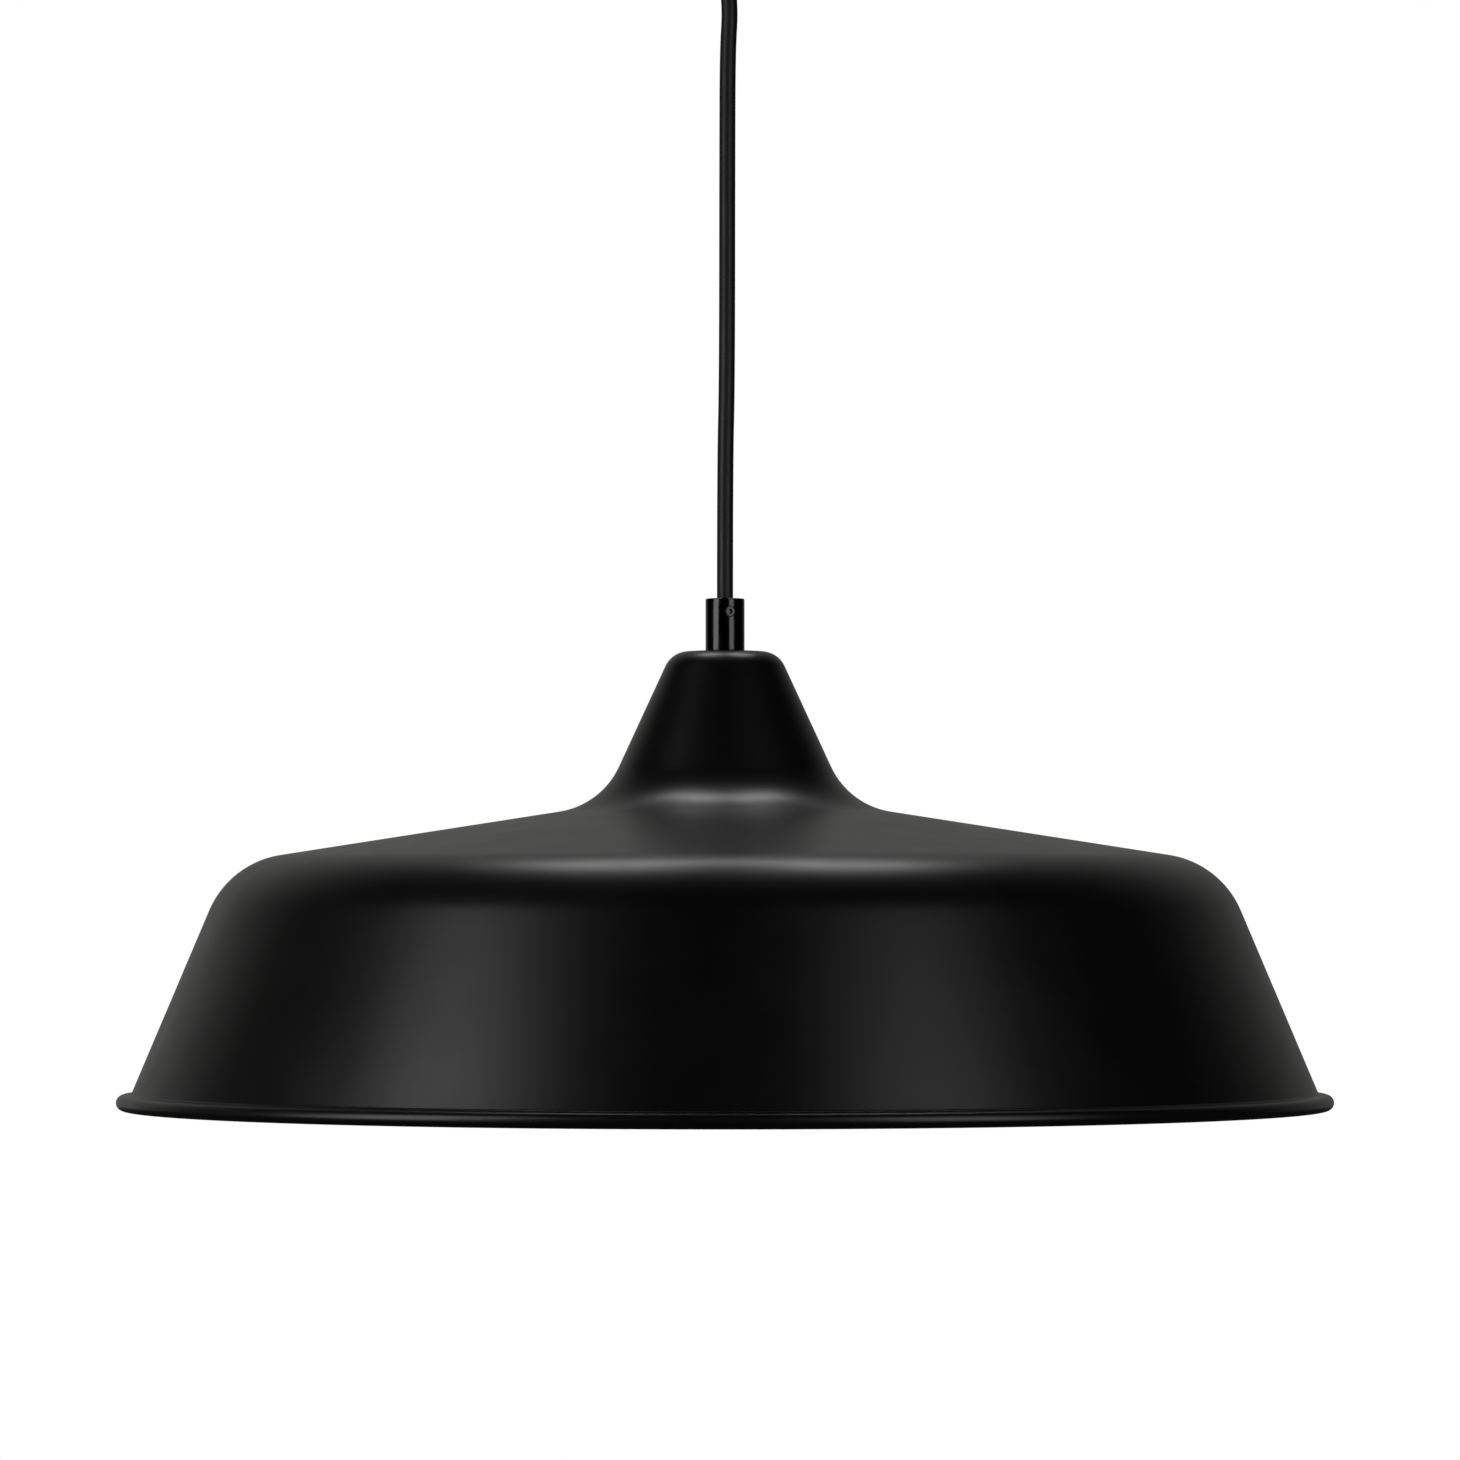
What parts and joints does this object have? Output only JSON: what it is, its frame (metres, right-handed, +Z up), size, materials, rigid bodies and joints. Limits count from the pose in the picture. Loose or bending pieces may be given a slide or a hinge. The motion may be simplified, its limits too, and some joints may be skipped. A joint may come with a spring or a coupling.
{
  "type": "pendant ceiling light",
  "caption": "Pendant ceiling light: wide spun-metal shade with a narrow neck, screw-base holder and bulb, hung by a round cord from a canopy cup.",
  "frame": {"origin": "centre of the ceiling bracket's two screw holes, on the face that lies against the ceiling", "axes": "+Z up into the ceiling, +X along the bracket, -Y towards the viewer of the lamp's front"},
  "size_m": [0.45, 0.4498, 0.4769],
  "materials": {
    "black_lacquer": "semi-matt black lacquer",
    "black_nickel": "polished black nickel",
    "zinc_steel": "zinc plated",
    "brass": "turned",
    "cord_jacket": "matt black PVC jacket",
    "wire_brown": "extruded",
    "wire_blue": "extruded",
    "wire_earth": "extruded, green and yellow",
    "holder_plastic": "moulded black phenolic",
    "block_plastic": "moulded",
    "base_metal": "rolled thread",
    "base_glass": "glossy black",
    "bulb_housing": "moulded white",
    "bulb_opal": "opal white",
    "board_metal": "white-masked circuit board",
    "board_green": "circuit board"
  },
  "bodies": {
    "ceiling_fitting": {"ceiling_bracket": "zinc_steel", "canopy_cup": "black_lacquer", "canopy_side_screws": "black_nickel", "terminal_block": "block_plastic", "terminal_clamps": "brass", "terminal_screws": "zinc_steel", "terminal_block_screw": "zinc_steel", "earth_screw": "zinc_steel", "earth_ring": "brass", "canopy_grip": "black_nickel", "canopy_grip_screw": "black_nickel", "canopy_tube": "zinc_steel", "canopy_washer": "zinc_steel", "canopy_nut": "zinc_steel", "cord_canopy_end": "cord_jacket", "canopy_wire_live": "wire_brown", "canopy_wire_neutral": "wire_blue", "canopy_wire_earth": "wire_earth"},
    "cord_bend": {"cord_flex": "cord_jacket"},
    "cord_run": {"cord": "cord_jacket"},
    "lamp_head": {"lamp_grip": "black_nickel", "lamp_grip_screw": "black_nickel", "lamp_tube": "zinc_steel", "shade": "black_lacquer", "shade_washer": "zinc_steel", "shade_nut": "zinc_steel", "cord_lamp_end": "cord_jacket", "lamp_wire_live": "wire_brown", "lamp_wire_neutral": "wire_blue", "lamp_wire_earth": "wire_earth", "holder_cap": "holder_plastic", "holder_cap_thread": "zinc_steel", "holder_earth_screw": "zinc_steel", "holder_insert": "block_plastic", "holder_terminals": "brass", "holder_terminal_screws": "zinc_steel", "holder_sleeve": "holder_plastic", "holder_screw_shell": "brass", "holder_contact": "brass"},
    "bulb_tip": {"bulb_contact": "base_metal"},
    "bulb": {"bulb_insulator": "base_glass", "bulb_screw_shell": "base_metal", "bulb_neck": "bulb_housing", "bulb_diffuser": "bulb_opal", "bulb_board": "board_metal", "bulb_driver": "board_green"}
  },
  "joints": [
    {"name": "swing_x", "type": "hinge", "parent": "ceiling_fitting", "child": "cord_bend", "pos_m": [0, 0, -0.0508], "axis": [1, 0, 0], "range_deg": [-30, 30]},
    {"name": "swing_y", "type": "hinge", "parent": "cord_bend", "child": "cord_run", "pos_m": [0, 0, -0.0508], "axis": [0, 1, 0], "range_deg": [-30, 30]},
    {"name": "lamp_turn", "type": "hinge", "parent": "cord_run", "child": "lamp_head", "pos_m": [0, 0, -0.2876], "axis": [0, 0, 1], "range_deg": [-180, 180]},
    {"name": "bulb_travel", "type": "slide", "parent": "lamp_head", "child": "bulb_tip", "axis": [0, 0, -1], "range_m": [0, 0.01453]},
    {"name": "bulb_turn", "type": "hinge", "parent": "bulb_tip", "child": "bulb", "pos_m": [0, 0, -0.34355], "axis": [0, 0, -1], "range_deg": [0, 1440]}
  ],
  "couplings": [
    {"joint": "bulb_travel", "follows": "bulb_turn", "m_per_rad": 0.00057773}
  ]
}
